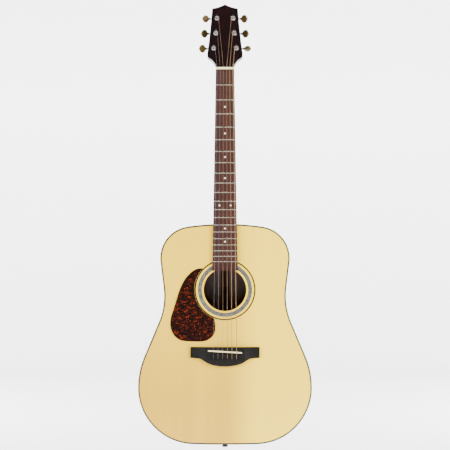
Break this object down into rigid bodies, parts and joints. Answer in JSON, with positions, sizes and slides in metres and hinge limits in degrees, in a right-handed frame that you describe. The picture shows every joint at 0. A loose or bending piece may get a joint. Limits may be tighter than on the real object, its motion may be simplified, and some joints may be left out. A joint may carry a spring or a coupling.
{
  "type": "acoustic guitar",
  "caption": "Left-handed dreadnought acoustic guitar with a spruce front, pinless bridge, bound body and geared tuning machines that turn.",
  "frame": {"origin": "middle of the tail strap button's head, on the button's axis at the bottom end of the body", "axes": "+Z from the tail towards the headstock, -Y out of the soundboard, +X towards the bass strings' side"},
  "size_m": [0.4, 0.1326, 1.0294],
  "materials": {
    "spruce_top": "gloss",
    "spruce_brace": "raw",
    "rosette_band": "satin",
    "mahogany": "gloss",
    "mahogany_neck": "satin",
    "binding": "gloss",
    "lining_cedar": "raw",
    "block_wood": "raw",
    "maple": "raw",
    "rosewood": "satin",
    "headstock_face": "gloss",
    "ebony": "satin",
    "bone": "polished",
    "nickel_silver": "polished",
    "pearl_dot": "polished",
    "tortoise": "gloss",
    "black_plastic": "satin",
    "gold_plate": "satin",
    "chrome": "polished",
    "brass_gear": "machined",
    "tool_steel": "satin",
    "plain_steel_string": "bright",
    "bronze_string": "bright"
  },
  "bodies": {
    "guitar": {"soundboard": "spruce_top", "rosette": "rosette_band", "back_plate": "mahogany", "treble_side": "mahogany", "bass_side": "mahogany", "bindings": "binding", "linings": "lining_cedar", "neck_block": "block_wood", "tail_block": "block_wood", "x_brace": "spruce_brace", "top_braces": "spruce_brace", "bridge_plate": "maple", "back_braces": "spruce_brace", "back_centre_strip": "spruce_brace", "neck": "mahogany_neck", "heel_cap": "black_plastic", "fingerboard": "rosewood", "frets": "nickel_silver", "position_dots": "pearl_dot", "nut": "bone", "headstock_veneer": "headstock_face", "truss_rod": "tool_steel", "bridge": "ebony", "saddle": "bone", "pickguard": "tortoise", "tail_strap_button": "black_plastic", "tuner_housings": "gold_plate", "tuner_bushings": "chrome", "tuner_screws": "tool_steel", "string_1": "plain_steel_string", "string_2": "plain_steel_string", "string_3": "bronze_string", "string_4": "bronze_string", "string_5": "bronze_string", "string_6": "bronze_string"},
    "truss_rod_nut": {"truss_rod_nut": "tool_steel"},
    "post_1": {"string_post_1": "chrome", "post_gear_1": "brass_gear"},
    "button_1": {"worm_shaft_1": "tool_steel", "tuning_button_1": "gold_plate"},
    "post_2": {"string_post_2": "chrome", "post_gear_2": "brass_gear"},
    "button_2": {"worm_shaft_2": "tool_steel", "tuning_button_2": "gold_plate"},
    "post_3": {"string_post_3": "chrome", "post_gear_3": "brass_gear"},
    "button_3": {"worm_shaft_3": "tool_steel", "tuning_button_3": "gold_plate"},
    "post_4": {"string_post_4": "chrome", "post_gear_4": "brass_gear"},
    "button_4": {"worm_shaft_4": "tool_steel", "tuning_button_4": "gold_plate"},
    "post_5": {"string_post_5": "chrome", "post_gear_5": "brass_gear"},
    "button_5": {"worm_shaft_5": "tool_steel", "tuning_button_5": "gold_plate"},
    "post_6": {"string_post_6": "chrome", "post_gear_6": "brass_gear"},
    "button_6": {"worm_shaft_6": "tool_steel", "tuning_button_6": "gold_plate"}
  },
  "joints": [
    {"name": "button_1_turn", "type": "hinge", "parent": "guitar", "child": "button_1", "pos_m": [-0.0524, -0.02839, 0.92458], "axis": [-1, 0, 0], "continuous": true},
    {"name": "post_1_turn", "type": "hinge", "parent": "guitar", "child": "post_1", "pos_m": [-0.0261, -0.02981, 0.91844], "axis": [0, -0.9744, 0.225], "continuous": true},
    {"name": "button_2_turn", "type": "hinge", "parent": "guitar", "child": "button_2", "pos_m": [-0.0476, -0.02018, 0.96014], "axis": [-1, 0, 0], "continuous": true},
    {"name": "post_2_turn", "type": "hinge", "parent": "guitar", "child": "post_2", "pos_m": [-0.0213, -0.0216, 0.954], "axis": [0, -0.9744, 0.225], "continuous": true},
    {"name": "button_3_turn", "type": "hinge", "parent": "guitar", "child": "button_3", "pos_m": [-0.0449, -0.01197, 0.9957], "axis": [-1, 0, 0], "continuous": true},
    {"name": "post_3_turn", "type": "hinge", "parent": "guitar", "child": "post_3", "pos_m": [-0.0186, -0.01339, 0.98957], "axis": [0, -0.9744, 0.225], "continuous": true},
    {"name": "button_4_turn", "type": "hinge", "parent": "guitar", "child": "button_4", "pos_m": [0.0524, -0.02839, 0.92458], "axis": [1, 0, 0], "continuous": true},
    {"name": "post_4_turn", "type": "hinge", "parent": "guitar", "child": "post_4", "pos_m": [0.0261, -0.02981, 0.91844], "axis": [0, -0.9744, 0.225], "continuous": true},
    {"name": "button_5_turn", "type": "hinge", "parent": "guitar", "child": "button_5", "pos_m": [0.0476, -0.02018, 0.96014], "axis": [1, 0, 0], "continuous": true},
    {"name": "post_5_turn", "type": "hinge", "parent": "guitar", "child": "post_5", "pos_m": [0.0213, -0.0216, 0.954], "axis": [0, -0.9744, 0.225], "continuous": true},
    {"name": "button_6_turn", "type": "hinge", "parent": "guitar", "child": "button_6", "pos_m": [0.0449, -0.01197, 0.9957], "axis": [1, 0, 0], "continuous": true},
    {"name": "post_6_turn", "type": "hinge", "parent": "guitar", "child": "post_6", "pos_m": [0.0186, -0.01339, 0.98957], "axis": [0, -0.9744, 0.225], "continuous": true},
    {"name": "truss_rod_nut_turn", "type": "hinge", "parent": "guitar", "child": "truss_rod_nut", "pos_m": [0, -0.051, 0.4543], "axis": [0, 0, 1], "range_deg": [-360, 360]}
  ],
  "couplings": [
    {"joint": "post_1_turn", "follows": "button_1_turn", "ratio": 0.071429},
    {"joint": "post_2_turn", "follows": "button_2_turn", "ratio": 0.071429},
    {"joint": "post_3_turn", "follows": "button_3_turn", "ratio": 0.071429},
    {"joint": "post_4_turn", "follows": "button_4_turn", "ratio": 0.071429},
    {"joint": "post_5_turn", "follows": "button_5_turn", "ratio": 0.071429},
    {"joint": "post_6_turn", "follows": "button_6_turn", "ratio": 0.071429}
  ]
}
